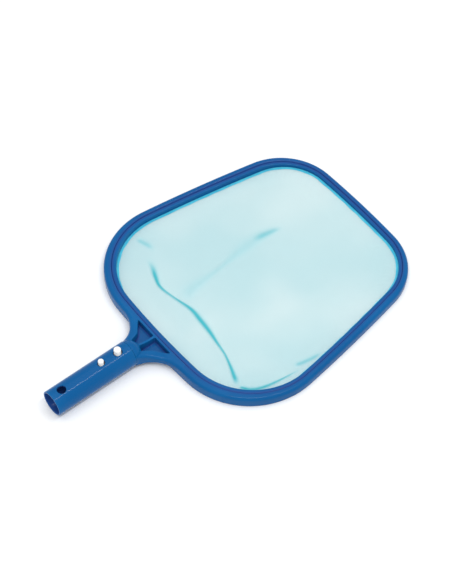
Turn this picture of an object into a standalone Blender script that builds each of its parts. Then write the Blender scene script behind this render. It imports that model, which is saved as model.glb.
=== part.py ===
"""Leaf skimmer net: a flat net clamped in a rounded moulded rim, with a socket for a pole.

The rim lies in the XY plane with its underside at z = 0. +X runs from the handle to the far
edge, and the origin is below the middle of the whole object. Sizes are in metres.
"""

import math

import bmesh
import bpy
import numpy as np
from mathutils import Matrix

# Overall sizes
HEAD_LENGTH = 0.3612
HEAD_WIDTH = 0.3491
NECK_LENGTH = 0.0343           # from the socket's end to the head's near edge
SIDE_TAPER = math.radians(9.3)
CORNER_NEAR = 0.1078
CORNER_FAR = 0.0839
BOW_NEAR = math.radians(3.45)
BOW_SIDE = math.radians(2.07)
BOW_FAR = math.radians(2.79)

# Rim section, at the handle side and at the far edge
RIM_WIDTH = (0.0174, 0.0120)
RIM_HEIGHT = (0.0174, 0.0104)
BEAD_WIDTH = (0.0108, 0.0070)
RIM_WALL = 0.0021
RIM_ROOF = 0.0029
RIM_ROUND = 0.0050
RIM_ROUND_SHARE = 0.60         # most of the bead's width that its rounding takes
RIM_FOOT_ROUND = 0.0015
BEAD_INNER_ROUND = 0.0013
LEDGE_TOP = 0.0024
GROOVE_WIDTH = 0.0016          # sloping side of the ring, facing the bead
GROOVE_DEPTH = 0.0022
RING_DROP = 0.0014             # from the bead's top down to the ring's top
RING_ROUND = 0.0016
RING_ROUND_SHARE = 0.45        # most of the ring's flat top that its rounding takes
CLOTH_SETBACK = 0.0010         # from the bead's inner face to the net's and the tape's edge

# Net and its binding tape
NET_THICK = 0.0006
NET_FLOOR = 0.0004
NET_SLOPE = 0.030
TAPE_THICK = 0.0006
TAPE_SHOW = 0.0032

# Handle socket and the spigot inside it
SOCKET_RADIUS = 0.0175
SOCKET_WALL = 0.0022
SOCKET_LIP = 0.0004
SPIGOT_WALL = 0.0022
SPIGOT_FIT = 0.0003
BLIND_WALL = 0.0030            # closes the spigot's bore at the neck
SHOULDER_STEP = 0.0005         # the shoulder is this much smaller than the socket
SHOULDER_NOSE = 0.0160         # how far the round shoulder runs into the neck
SHOULDER_SWEEP = math.radians(83)
POLE_ROOM = 0.0388             # how far a pole goes in before it meets the spigot
POLE_HOLE_RADIUS = 0.0062
POLE_HOLE_FROM_MOUTH = 0.0165

# Neck between the socket and the rim
NECK_FLARE = 0.0460
NECK_BOTTOM = 0.0050
NECK_RISE = 0.0090             # the web's top above the socket's axis, at the shoulder
NECK_BELOW_RIM = 0.0002        # the web's top below the rim's, at the rim
NECK_ROUND = 0.0045
NECK_ROUND_SHARE = 0.47        # most of the web's tip that its rounding takes
WEB_INSIDE_BEAD = 0.0006       # the web stops this far short of the bead's inner face
RIB_HALF = 0.0019
POCKET_FLOOR = 0.0085
POCKET_REACH = 0.0340
POCKET_FROM_SHOULDER = 0.0075
POCKET_WALL = 0.0042           # between the pocket and the groove
POCKET_MOUTH = 0.0062          # the pocket's width beside the shoulder
POCKET_ROUND = 0.0016
POCKET_WAIST_ROUND = 0.0120
POCKET_WAIST_SHIFT = 0.0030

# Spring clip with its two locking pins
STRIP_WIDTH = 0.0090
STRIP_THICK = 0.0008
BEND_ROOM = 0.0013             # between the bend and the spigot's open end
SMALL_PIN_RADIUS = 0.0037
SMALL_PIN_STANDS = 0.0068
SMALL_PIN_LEVER = 0.0266
LARGE_PIN_RADIUS = 0.0047
LARGE_PIN_STANDS = 0.0090
LARGE_PIN_LEVER = 0.0527
ARM_PAST_PIN = 0.0070
ARM_END_ROOM = 0.0026
PIN_CROWN = 0.38               # share of a pin's radius that its domed top rounds off
PIN_SLOT_BACK = 0.0008
PIN_SLOT_FRONT = 0.0017
PIN_SIDE = 0.0004

# Fits
GAP = 0.0003                   # between pieces that touch

# Steps of round shapes
LOOP_STEPS = 10                # points on each arc of the rim's outline
NET_STEPS = 4                  # rings of faces down the net's sloping edge
TURN_STEPS = 40                # sides of a turned piece
NOSE_STEPS = 6
FLARE_STEPS = 10
BEND_STEPS = 12
SLOT_STEPS = 8
HOLE_SIDES = 24
PIN_SIDES = 24
CROWN_STEPS = 4
CROWN_ANGLE = math.radians(60)
SMOOTH_ANGLE = math.radians(35)
WELD = 1e-6

# The socket's axis, a height above every opening, and how far the strip reaches from the axis
AXIS_Z = SOCKET_RADIUS
CUTTER_TOP = 3 * SOCKET_RADIUS
SOCKET_BORE = SOCKET_RADIUS - SOCKET_WALL
SPIGOT_RADIUS = SOCKET_BORE - SPIGOT_FIT
SPIGOT_BORE = SPIGOT_RADIUS - SPIGOT_WALL
STRIP_RISE = math.sqrt(SPIGOT_BORE ** 2 - (STRIP_WIDTH / 2) ** 2) - GAP
ARM_Z = AXIS_Z + STRIP_RISE - STRIP_THICK / 2

# Places along X. The spigot is as long as the spring clip inside it needs.
ARM_LENGTH = LARGE_PIN_LEVER + LARGE_PIN_RADIUS + ARM_PAST_PIN
SPIGOT_LENGTH = BEND_ROOM + STRIP_RISE + ARM_LENGTH + ARM_END_ROOM + BLIND_WALL
SOCKET_LENGTH = POLE_ROOM + SPIGOT_LENGTH - GAP
TOTAL_LENGTH = HEAD_LENGTH + NECK_LENGTH + SOCKET_LENGTH
MOUTH_X = -TOTAL_LENGTH / 2
FAR_X = TOTAL_LENGTH / 2
NEAR_X = FAR_X - HEAD_LENGTH
SOCKET_END_X = MOUTH_X + SOCKET_LENGTH
SHOULDER_X = SOCKET_END_X + GAP
SPIGOT_X = SHOULDER_X - SPIGOT_LENGTH
BEND_X = SPIGOT_X + BEND_ROOM + STRIP_RISE
WEB_END_X = NEAR_X + BEAD_WIDTH[0] - WEB_INSIDE_BEAD

# Heights
NECK_TOP = AXIS_Z + NECK_RISE
NECK_LOW = RIM_HEIGHT[0] - NECK_BELOW_RIM
NECK_SLOPE = (NECK_LOW - NECK_TOP) / (NEAR_X - SHOULDER_X)
NET_BOTTOM = LEDGE_TOP + GAP
TAPE_BOTTOM = NET_BOTTOM + NET_THICK + GAP
RING_BOTTOM = TAPE_BOTTOM + TAPE_THICK + GAP

PARTS = "LeafSkimmerNet"
CUTTERS = "Cutters"


# Scene helpers

def clear_scene():
    for obj in list(bpy.data.objects):
        bpy.data.objects.remove(obj, do_unlink=True)


def collection(name):
    made = bpy.data.collections.new(name)
    bpy.context.scene.collection.children.link(made)
    return made


def material(name, colour, roughness, metallic=0.0):
    made = bpy.data.materials.new(name)
    made.use_nodes = True
    shader = made.node_tree.nodes["Principled BSDF"]
    shader.inputs["Base Color"].default_value = (*colour, 1.0)
    shader.inputs["Roughness"].default_value = roughness
    shader.inputs["Metallic"].default_value = metallic
    return made


def add(name, mesh, where, look=None):
    obj = bpy.data.objects.new(name, mesh)
    bpy.data.collections[where].objects.link(obj)
    if look:
        mesh.materials.clear()
        mesh.materials.append(look)
    return obj


def helper(name, mesh):
    obj = add(name, mesh, CUTTERS)
    obj.hide_render = True
    obj.display_type = "WIRE"
    return obj


def evaluated_mesh(obj):
    """The object's mesh with its modifiers applied, welded and closed."""
    bpy.context.view_layer.update()
    graph = bpy.context.evaluated_depsgraph_get()
    mesh = bpy.data.meshes.new_from_object(obj.evaluated_get(graph))
    tidy = bmesh.new()
    tidy.from_mesh(mesh)
    bmesh.ops.remove_doubles(tidy, verts=tidy.verts, dist=WELD)
    tidy.to_mesh(mesh)
    tidy.free()
    return mesh


def settle(obj):
    """Applies the object's modifiers, so that the next ones start from a plain mesh."""
    mesh = evaluated_mesh(obj)
    obj.modifiers.clear()
    obj.data = mesh


def combine(obj, other, operation):
    modifier = obj.modifiers.new(f"{operation}_{other.name}", "BOOLEAN")
    modifier.operation = operation
    modifier.solver = "EXACT"
    modifier.object = other


def smooth(obj):
    obj.data.shade_smooth()
    obj.data.set_sharp_from_angle(angle=SMOOTH_ANGLE)


# Outline of the rim

def outline_angles():
    """Angles of the outline's normal where one tangent arc meets the next, far edge to near edge."""
    side = math.pi / 2 - SIDE_TAPER
    return (0.0, BOW_FAR, side - BOW_SIDE, side + BOW_SIDE, math.pi - BOW_NEAR, math.pi)


def outline_radii():
    """Radii of the far edge, far corner, side, near corner and near edge arcs, so that the
    chain of arcs is HEAD_LENGTH long and HEAD_WIDTH wide."""
    side = math.pi / 2 - SIDE_TAPER
    slopes = np.array([
        [math.tan(BOW_FAR / 2), math.sin(side), math.tan(BOW_NEAR / 2)],
        [1.0, math.cos(side), 0.0],
        [1.0, math.cos(side), -1.0],
    ])
    far_rise = math.sin(side - BOW_SIDE) - math.sin(BOW_FAR)
    near_rise = math.sin(BOW_NEAR) - math.sin(side + BOW_SIDE)
    far_run = math.cos(BOW_FAR) - math.cos(side - BOW_SIDE)
    near_run = math.cos(side + BOW_SIDE) + math.cos(BOW_NEAR)
    spans = np.array([
        HEAD_LENGTH - CORNER_FAR * far_run - CORNER_NEAR * near_run,
        HEAD_WIDTH / 2 - CORNER_FAR * far_rise - CORNER_NEAR * (1 - math.sin(side + BOW_SIDE)),
        -CORNER_FAR * far_rise - CORNER_NEAR * near_rise,
    ])
    far_chord, side_chord, near_chord = np.linalg.solve(slopes, spans)
    return (
        far_chord / math.sin(BOW_FAR),
        CORNER_FAR,
        side_chord / 2 / math.sin(BOW_SIDE),
        CORNER_NEAR,
        near_chord / math.sin(BOW_NEAR),
    )


def head_outline():
    """Points of the closed outline and the angles of its outward normals, counter-clockwise."""
    angles = outline_angles()
    place = np.array([FAR_X, 0.0])
    points = [place]
    normals = [0.0]
    for radius, start, end in zip(outline_radii(), angles, angles[1:]):
        centre = place - radius * np.array([math.cos(start), math.sin(start)])
        for angle in np.linspace(start, end, LOOP_STEPS + 1)[1:]:
            place = centre + radius * np.array([math.cos(angle), math.sin(angle)])
            points.append(place)
            normals.append(angle)
    half = np.array(points)
    turn = np.array(normals)
    whole = np.vstack([half, half[-2:0:-1] * [1, -1]])
    return whole, np.concatenate([turn, -turn[-2:0:-1]])


def along_rim(pair, turn):
    """A size given at the near and the far edge, eased between them by the normal's angle."""
    near, far = pair
    return near * (1 - np.cos(turn)) / 2 + far * (1 + np.cos(turn)) / 2


# Shapes

def fillet(corner, before, after, radius, steps=3):
    """Points of the arc that rounds one corner of a section."""
    corner, before, after = (np.array(p, float) for p in (corner, before, after))
    into = (before - corner) / np.linalg.norm(before - corner)
    out = (after - corner) / np.linalg.norm(after - corner)
    half = math.acos(np.clip(into @ out, -1, 1)) / 2
    middle = (into + out) / np.linalg.norm(into + out)
    centre = corner + middle * radius / math.sin(half)
    start = corner + into * radius / math.tan(half) - centre
    end = corner + out * radius / math.tan(half) - centre
    sweep = math.pi - 2 * half
    return [
        tuple(centre + (math.sin(sweep * (1 - t)) * start + math.sin(sweep * t) * end) / math.sin(sweep))
        for t in np.linspace(0, 1, steps + 1)
    ]


def rounded(corners):
    """A closed section from (x, y, radius) corners, with an arc at each corner that has one."""
    points = []
    for index, (x, y, radius) in enumerate(corners):
        if radius:
            after = corners[(index + 1) % len(corners)][:2]
            points += fillet((x, y), corners[index - 1][:2], after, radius)
        else:
            points.append((x, y))
    return points


def swept_rim(name, section):
    """A closed loft round the head: section(turn) gives (inset, height) points at each normal."""
    points, turns = head_outline()
    rows = []
    for place, turn in zip(points, turns):
        inward = -np.array([math.cos(turn), math.sin(turn)])
        rows.append([(*(place + inward * inset), height) for inset, height in section(turn)])
    return lofted(name, rows)


def lofted(name, rows):
    """A ring-shaped mesh through rows of points, closed both along and across them."""
    around, across = len(rows), len(rows[0])
    faces = [
        (
            i * across + j,
            i * across + (j + 1) % across,
            (i + 1) % around * across + (j + 1) % across,
            (i + 1) % around * across + j,
        )
        for i in range(around)
        for j in range(across)
    ]
    mesh = bpy.data.meshes.new(name)
    mesh.from_pydata([point for row in rows for point in row], [], faces)
    return outward(mesh)


def outward(mesh):
    work = bmesh.new()
    work.from_mesh(mesh)
    bmesh.ops.recalc_face_normals(work, faces=work.faces)
    work.to_mesh(mesh)
    work.free()
    return mesh


def plate(name, outline, bottom, top, edge=0.0):
    """A flat outline in XY, extruded from bottom to top, as a welded mesh. Its edges are rounded
    by the radius edge."""
    curve = bpy.data.curves.new(name, "CURVE")
    curve.dimensions = "2D"
    curve.fill_mode = "BOTH"
    curve.extrude = (top - bottom) / 2 - edge
    curve.bevel_depth = edge
    curve.bevel_resolution = 2
    curve.offset = -edge
    spline = curve.splines.new("POLY")
    spline.points.add(len(outline) - 1)
    for point, (x, y) in zip(spline.points, outline):
        point.co = (x, y, 0.0, 1.0)
    spline.use_cyclic_u = True
    drawn = add(name + "_outline", curve, CUTTERS)
    mesh = evaluated_mesh(drawn)
    mesh.transform(Matrix.Translation((0, 0, (top + bottom) / 2)))
    bpy.data.objects.remove(drawn)
    return outward(mesh)


def turned(name, profile):
    """A profile of (x, radius) points turned about the socket's axis with a Screw modifier. It
    closes on itself unless both its ends are on the axis."""
    mesh = bpy.data.meshes.new(name)
    edges = [(i, i + 1) for i in range(len(profile) - 1)]
    if profile[0][1] > 0:
        edges.append((len(profile) - 1, 0))
    mesh.from_pydata([(x, 0.0, radius) for x, radius in profile], edges, [])
    obj = add(name + "_profile", mesh, CUTTERS)
    screw = obj.modifiers.new("Screw", "SCREW")
    screw.axis = "X"
    screw.steps = TURN_STEPS
    screw.render_steps = TURN_STEPS
    screw.use_merge_vertices = True
    screw.merge_threshold = WELD
    made = evaluated_mesh(obj)
    bpy.data.objects.remove(obj)
    made.transform(Matrix.Translation((0, 0, AXIS_Z)))
    return outward(made)


def slot_outline(x, radius, back, front):
    """An oblong round x on the top line, longer by back and front than the pin's own circle."""
    half = np.linspace(-math.pi / 2, math.pi / 2, SLOT_STEPS + 1)
    width = radius + PIN_SIDE
    right = [(x + front + width * math.cos(a), width * math.sin(a)) for a in half]
    left = [(x - back - width * math.cos(a), -width * math.sin(a)) for a in half]
    return right + left


# Head

def frame_section(turn):
    """Outer bead, hollow underneath, with the ledge that the net's edge lies on."""
    width = along_rim(RIM_WIDTH, turn)
    height = along_rim(RIM_HEIGHT, turn)
    bead = along_rim(BEAD_WIDTH, turn)
    roof = height - RIM_ROOF
    shoulder = min(RIM_ROUND, RIM_ROUND_SHARE * bead)
    return rounded([
        (0.0, 0.0, RIM_FOOT_ROUND),
        (0.0, height, shoulder),
        (bead, height, BEAD_INNER_ROUND),
        (bead, LEDGE_TOP, 0.0),
        (width, LEDGE_TOP, 0.0),
        (width, 0.0, 0.0),
        (bead - RIM_WALL, 0.0, 0.0),
        (bead - RIM_WALL, roof, 0.0),
        (RIM_WALL, roof, 0.0),
        (RIM_WALL, 0.0, 0.0),
    ])


def ring_section(turn):
    """Bar that presses the net's edge on the ledge. Its outer side slopes, so that a shallow
    groove is left between it and the bead."""
    inner = along_rim(RIM_WIDTH, turn)
    outer = along_rim(BEAD_WIDTH, turn) + GAP
    top = along_rim(RIM_HEIGHT, turn) - RING_DROP
    edge = min(RING_ROUND, RING_ROUND_SHARE * (inner - outer - GROOVE_WIDTH))
    return rounded([
        (outer, RING_BOTTOM, 0.0),
        (outer, top - GROOVE_DEPTH, 0.0),
        (outer + GROOVE_WIDTH, top, edge / 2),
        (inner, top, edge),
        (inner, RING_BOTTOM, 0.0),
    ])


def tape_section(turn):
    """Flat tape along the net's edge, showing a little inside the ring."""
    inner = along_rim(RIM_WIDTH, turn) + TAPE_SHOW
    outer = along_rim(BEAD_WIDTH, turn) + CLOTH_SETBACK
    top = TAPE_BOTTOM + TAPE_THICK
    return [(outer, TAPE_BOTTOM), (outer, top), (inner, top), (inner, TAPE_BOTTOM)]


def net_surface():
    """Open sheet: level under the ring, then eased down to rest just above the ground."""
    points, turns = head_outline()
    normals = np.stack([np.cos(turns), np.sin(turns)], axis=1)
    edge = along_rim(BEAD_WIDTH, turns) + CLOTH_SETBACK
    brink = along_rim(RIM_WIDTH, turns)
    drop = NET_BOTTOM - NET_FLOOR
    loops = [(edge, 0.0), (brink, 0.0)]
    for t in np.linspace(0, 1, NET_STEPS + 1)[1:]:
        loops.append((brink + NET_SLOPE * t, drop * (3 - 2 * t) * t * t))
    mesh = bpy.data.meshes.new("net")
    work = bmesh.new()
    previous = None
    for inset, fall in loops:
        inset = np.broadcast_to(inset, turns.shape)[:, None]
        places = points - normals * inset
        verts = [work.verts.new((x, y, NET_BOTTOM - fall)) for x, y in places]
        if previous:
            for i in range(len(verts)):
                j = (i + 1) % len(verts)
                work.faces.new((previous[i], previous[j], verts[j], verts[i]))
        previous = verts
    work.faces.new(previous)
    work.to_mesh(mesh)
    work.free()
    return outward(mesh)


def flare_circle():
    """Centre of the flare's circle, which touches the spigot's side line and the rim's outer edge
    from outside, and the angle from -y to where it touches the rim. It touches the near edge's
    arc, or the corner's where it reaches past that."""
    near = outline_radii()[-1]
    centre_y = SPIGOT_RADIUS + NECK_FLARE
    radius, from_x, from_y = near, NEAR_X + near, 0.0
    if centre_y > (near + NECK_FLARE) * math.sin(BOW_NEAR):
        radius = CORNER_NEAR
        from_x -= (near - CORNER_NEAR) * math.cos(BOW_NEAR)
        from_y += (near - CORNER_NEAR) * math.sin(BOW_NEAR)
    rise = centre_y - from_y
    centre_x = from_x - math.sqrt((radius + NECK_FLARE) ** 2 - rise ** 2)
    return centre_x, centre_y, math.pi / 2 - math.asin(rise / (radius + NECK_FLARE))


def neck_outline():
    """The web from the socket's end to the rim, flared by an arc tangent to both."""
    centre_x, centre_y, end = flare_circle()
    start = math.asin((SHOULDER_X - centre_x) / NECK_FLARE)
    arc = [
        (centre_x + NECK_FLARE * math.sin(a), centre_y - NECK_FLARE * math.cos(a))
        for a in np.linspace(start, end, FLARE_STEPS + 1)
    ]
    half = arc + [(WEB_END_X, arc[-1][1])]
    return half + [(x, -y) for x, y in reversed(half)]


def neck_round():
    """The rounding of the web's edges, limited by the web's tip inside the bead, which is narrowest
    where the flare meets the rim and lowest at its end."""
    centre_x, _, end = flare_circle()
    tip_width = WEB_END_X - centre_x - NECK_FLARE * math.sin(end)
    tip_height = NECK_TOP + NECK_SLOPE * (WEB_END_X - SHOULDER_X) - NECK_BOTTOM
    return min(NECK_ROUND, NECK_ROUND_SHARE * min(tip_width, tip_height))


def tilt_top(mesh):
    """Slopes the web's upper side, from NECK_TOP at the socket to NECK_LOW at the rim."""
    middle = (NECK_BOTTOM + NECK_TOP) / 2
    for vert in mesh.vertices:
        if vert.co.z > middle:
            vert.co.z += NECK_SLOPE * (vert.co.x - SHOULDER_X)
    return mesh


def pocket_outline(sign):
    """One three-cornered recess between the rib, the ring and the flared edge band."""
    root_x = SHOULDER_X + POCKET_FROM_SHOULDER
    wall_x = NEAR_X + BEAD_WIDTH[0] - POCKET_WALL
    waist_x = (root_x + wall_x) / 2 + POCKET_WAIST_SHIFT
    corners = [
        (root_x, RIB_HALF, POCKET_ROUND),
        (wall_x, RIB_HALF, POCKET_ROUND),
        (wall_x, POCKET_REACH, POCKET_ROUND / 2),
        (waist_x, POCKET_REACH / 2, POCKET_WAIST_ROUND),
        (root_x, RIB_HALF + POCKET_MOUTH, POCKET_ROUND),
    ]
    points = rounded(corners)
    return [(x, sign * y) for x, y in points][:: sign]


def spigot_profile():
    """Hollow spigot with a blind end, and the round shoulder that the socket's end meets."""
    nose = [
        (SHOULDER_X + SHOULDER_NOSE * math.sin(a), (SOCKET_RADIUS - SHOULDER_STEP) * math.cos(a))
        for a in np.linspace(0, SHOULDER_SWEEP, NOSE_STEPS + 1)
    ]
    return [
        (SHOULDER_X - BLIND_WALL, 0.0),
        (SHOULDER_X - BLIND_WALL, SPIGOT_BORE),
        (SPIGOT_X, SPIGOT_BORE),
        (SPIGOT_X, SPIGOT_RADIUS),
        (SHOULDER_X, SPIGOT_RADIUS),
        *nose,
        (nose[-1][0], 0.0),
    ]


def make_frame(look):
    frame = add("frame", swept_rim("frame", frame_section), PARTS, look)
    solid = plate("neck_web", neck_outline(), NECK_BOTTOM, NECK_TOP, neck_round())
    web = helper("neck_web", tilt_top(solid))
    spigot = helper("spigot", turned("spigot", spigot_profile()))
    combine(frame, web, "UNION")
    combine(frame, spigot, "UNION")
    for sign, name in ((1, "pocket_left"), (-1, "pocket_right")):
        pocket = helper(name, plate(name, pocket_outline(sign), POCKET_FLOOR, CUTTER_TOP))
        combine(frame, pocket, "DIFFERENCE")
    for slot in pin_slots():
        combine(frame, slot, "DIFFERENCE")
    return frame


# Handle socket

def pin_slots():
    """Oblong openings that let each pin swing down through the socket and the spigot."""
    made = []
    pins = (
        ("slot_small", SMALL_PIN_LEVER, SMALL_PIN_RADIUS),
        ("slot_large", LARGE_PIN_LEVER, LARGE_PIN_RADIUS),
    )
    for name, lever, radius in pins:
        if name in bpy.data.objects:
            made.append(bpy.data.objects[name])
            continue
        outline = slot_outline(BEND_X + lever, radius, PIN_SLOT_BACK, PIN_SLOT_FRONT)
        made.append(helper(name, plate(name, outline, ARM_Z - STRIP_THICK, CUTTER_TOP)))
    return made


def make_socket(look):
    profile = [
        (MOUTH_X, SOCKET_BORE + SOCKET_LIP),
        (MOUTH_X, SOCKET_RADIUS - SOCKET_LIP),
        (MOUTH_X + SOCKET_LIP, SOCKET_RADIUS),
        (SOCKET_END_X - SOCKET_LIP, SOCKET_RADIUS),
        (SOCKET_END_X, SOCKET_RADIUS - SOCKET_LIP),
        (SOCKET_END_X, SOCKET_BORE),
        (MOUTH_X + SOCKET_LIP, SOCKET_BORE),
    ]
    socket = add("handle_socket", turned("handle_socket", profile), PARTS, look)
    centre = MOUTH_X + POLE_HOLE_FROM_MOUTH
    circle = [
        (centre + POLE_HOLE_RADIUS * math.cos(a), POLE_HOLE_RADIUS * math.sin(a))
        for a in np.linspace(0, 2 * math.pi, HOLE_SIDES, endpoint=False)
    ]
    hole = helper("pole_hole", plate("pole_hole", circle, AXIS_Z, CUTTER_TOP))
    combine(socket, hole, "DIFFERENCE")
    for slot in pin_slots():
        combine(socket, slot, "DIFFERENCE")
    return socket


# Spring clip

def strip(name, path, look):
    """A flat strip along a path of (x, z) points, as an open ribbon thickened by Solidify."""
    half = STRIP_WIDTH / 2
    verts = [(x, y, z) for x, z in path for y in (-half, half)]
    faces = [(2 * i, 2 * i + 1, 2 * i + 3, 2 * i + 2) for i in range(len(path) - 1)]
    mesh = bpy.data.meshes.new(name)
    mesh.from_pydata(verts, [], faces)
    obj = add(name, mesh, PARTS, look)
    thick = obj.modifiers.new("Solidify", "SOLIDIFY")
    thick.thickness = STRIP_THICK
    thick.offset = 0.0
    settle(obj)
    outward(obj.data)
    return obj


def make_spring_leg(look):
    """The clip's lower leg and its half-round bend, up to where the arm flexes."""
    radius = STRIP_RISE - STRIP_THICK / 2
    bend = [
        (BEND_X - radius * math.sin(a), AXIS_Z + radius * math.cos(a))
        for a in np.linspace(0, math.pi, BEND_STEPS + 1)
    ]
    end = (BEND_X + LARGE_PIN_LEVER, AXIS_Z - radius)
    return strip("spring_leg", bend + [end], look)


def make_spring_arm(look):
    """The clip's upper arm, with its origin on the line that it flexes about."""
    arm = strip("spring_arm", [(GAP, 0.0), (ARM_LENGTH, 0.0)], look)
    arm.location = (BEND_X, 0.0, ARM_Z)
    return arm


def make_pin(name, lever, radius, stands, look, arm):
    """A domed round pin that stands on the arm and out through the socket's wall."""
    bottom = STRIP_THICK / 2 + GAP
    top = 2 * SOCKET_RADIUS + stands - ARM_Z
    mesh = bpy.data.meshes.new(name)
    work = bmesh.new()
    bmesh.ops.create_cone(
        work, cap_ends=True, segments=PIN_SIDES, radius1=radius, radius2=radius, depth=top - bottom
    )
    bmesh.ops.translate(work, verts=work.verts, vec=(lever, 0.0, (top + bottom) / 2))
    work.to_mesh(mesh)
    work.free()
    pin = add(name, mesh, PARTS, look)
    crown = pin.modifiers.new("Crown", "BEVEL")
    crown.width = PIN_CROWN * radius
    crown.segments = CROWN_STEPS
    crown.limit_method = "ANGLE"
    crown.angle_limit = CROWN_ANGLE
    pin.parent = arm
    return pin


def build():
    clear_scene()
    collection(PARTS)
    collection(CUTTERS)
    blue = (0.011, 0.120, 0.330)
    frame = make_frame(material("Frame", blue, 0.30))
    ring = add("clamp_ring", swept_rim("clamp_ring", ring_section), PARTS, material("Ring", blue, 0.32))
    tape_look = material("Binding", (0.02, 0.42, 0.52), 0.80)
    add("binding_tape", swept_rim("binding_tape", tape_section), PARTS, tape_look)
    net = add("net", net_surface(), PARTS, material("Net", (0.55, 0.78, 0.82), 0.75))
    thick = net.modifiers.new("Solidify", "SOLIDIFY")
    thick.thickness = NET_THICK
    thick.offset = 1.0
    socket = make_socket(material("Socket", blue, 0.34))
    steel = material("SpringSteel", (0.62, 0.62, 0.64), 0.28, 1.0)
    make_spring_leg(steel)
    arm = make_spring_arm(steel.copy())
    white = material("SmallPin", (0.90, 0.88, 0.82), 0.40)
    make_pin("pin_small", SMALL_PIN_LEVER, SMALL_PIN_RADIUS, SMALL_PIN_STANDS, white, arm)
    cream = material("LargePin", (0.90, 0.88, 0.82), 0.40)
    make_pin("pin_large", LARGE_PIN_LEVER, LARGE_PIN_RADIUS, LARGE_PIN_STANDS, cream, arm)
    for obj in (frame, ring, socket):
        smooth(obj)


build()
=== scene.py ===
"""Leaf skimmer net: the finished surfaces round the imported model.

A blue moulded rim and neck, a ring that clamps a pale net, a socket tube for a pole and a sprung
clip with two white pins. The rim lies in the XY plane and +X runs from the handle to the far edge.
Sizes are in metres.
"""

import math
from collections import namedtuple

import bmesh
import bpy
import numpy as np
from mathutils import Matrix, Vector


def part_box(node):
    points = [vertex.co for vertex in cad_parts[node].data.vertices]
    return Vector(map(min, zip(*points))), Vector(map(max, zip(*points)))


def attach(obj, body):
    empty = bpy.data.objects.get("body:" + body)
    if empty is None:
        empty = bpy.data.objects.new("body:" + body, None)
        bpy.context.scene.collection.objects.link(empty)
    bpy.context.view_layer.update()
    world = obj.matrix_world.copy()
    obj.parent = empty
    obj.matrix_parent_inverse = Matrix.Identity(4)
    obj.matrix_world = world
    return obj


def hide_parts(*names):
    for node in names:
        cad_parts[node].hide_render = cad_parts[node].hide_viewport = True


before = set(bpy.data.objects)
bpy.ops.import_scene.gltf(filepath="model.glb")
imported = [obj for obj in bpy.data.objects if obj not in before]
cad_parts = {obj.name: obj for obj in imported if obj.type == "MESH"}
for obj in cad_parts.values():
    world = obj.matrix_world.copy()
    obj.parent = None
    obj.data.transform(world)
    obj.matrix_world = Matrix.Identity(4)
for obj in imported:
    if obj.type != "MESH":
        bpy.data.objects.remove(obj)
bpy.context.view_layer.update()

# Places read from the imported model
RIM_LOW, RIM_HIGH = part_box("frame")
RING_LOW, RING_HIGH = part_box("clamp_ring")
SOCKET_LOW, SOCKET_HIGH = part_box("handle_socket")
NET_LOW, NET_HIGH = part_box("net")
TAPE_LOW, TAPE_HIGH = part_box("binding_tape")

# Rim section, at the handle side and at the far edge
RIM_WIDTH = (0.0174, 0.0120)
RIM_HEIGHT = (0.0174, 0.0104)
BEAD_WIDTH = (0.0108, 0.0070)
RIM_WALL = 0.0021
RIM_ROOF = 0.0029
LEDGE_TOP = 0.0024
BEAD_ROUND = 0.0050
BEAD_INNER_ROUND = 0.0022
GROOVE_WIDTH = 0.0021
GROOVE_DEPTH = 0.0004
RING_DROP = 0.0014
GAP = 0.0003
FOOT_ROUND = 0.0012
LEDGE_ROUND = 0.0005
SMALL_ROUND = 0.0004
CRISP_ROUND = 0.0003
RING_OUTER_ROUND = 0.0012
RING_INNER_ROUND = 0.0016
BEAD_ROUND_SHARE = 0.6
GROOVE_WIDTH_SHARE = 0.42
CLOTH_SETBACK = 0.0010
TAPE_SHOW = 0.0032

# Outline of the head
SIDE_TAPER = math.radians(9.3)
CORNER_NEAR = 0.1078
CORNER_FAR = 0.0839
BOW_NEAR = math.radians(3.45)
BOW_SIDE = math.radians(2.07)
BOW_FAR = math.radians(2.79)
HEAD_WIDTH = RIM_HIGH.y - RIM_LOW.y
FAR_X = RIM_HIGH.x
NEAR_X = RING_LOW.x - BEAD_WIDTH[0] - GAP
HEAD_LENGTH = FAR_X - NEAR_X

# Socket, spigot, shoulder and pins
MOUTH_X = SOCKET_LOW.x
SOCKET_END_X = SOCKET_HIGH.x
AXIS_Z = (SOCKET_LOW.z + SOCKET_HIGH.z) / 2
SOCKET_RADIUS = (SOCKET_HIGH.y - SOCKET_LOW.y) / 2
SOCKET_BORE = 0.0153
SPIGOT_RADIUS = 0.0150
SPIGOT_BORE = 0.0128
SPIGOT_X = RIM_LOW.x
SHOULDER_X = SOCKET_END_X + GAP
SHOULDER_RADIUS = 0.0170
SHOULDER_NOSE = 0.0160
BLIND_WALL = 0.0030
POLE_HOLE_X = MOUTH_X + 0.0165
POLE_HOLE_RADIUS = 0.0062
SOCKET_LIP = 0.0007
SOCKET_END_ROUND = 0.0005
SPIGOT_ROUND = 0.0006
TIP_RADIUS = 0.0002
SLOT_BACK = 0.0008
SLOT_FRONT = 0.0017
SLOT_SIDE = 0.0004
CUTTER_START = 0.0010
CUTTER_TOP = 3 * SOCKET_RADIUS
PINS = ("pin_small", "pin_large")
PIN_CROWN = 0.50
PIN_FOOT_ROUND = 0.0005
PIN_TIP_RADIUS = 0.0001

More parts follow.
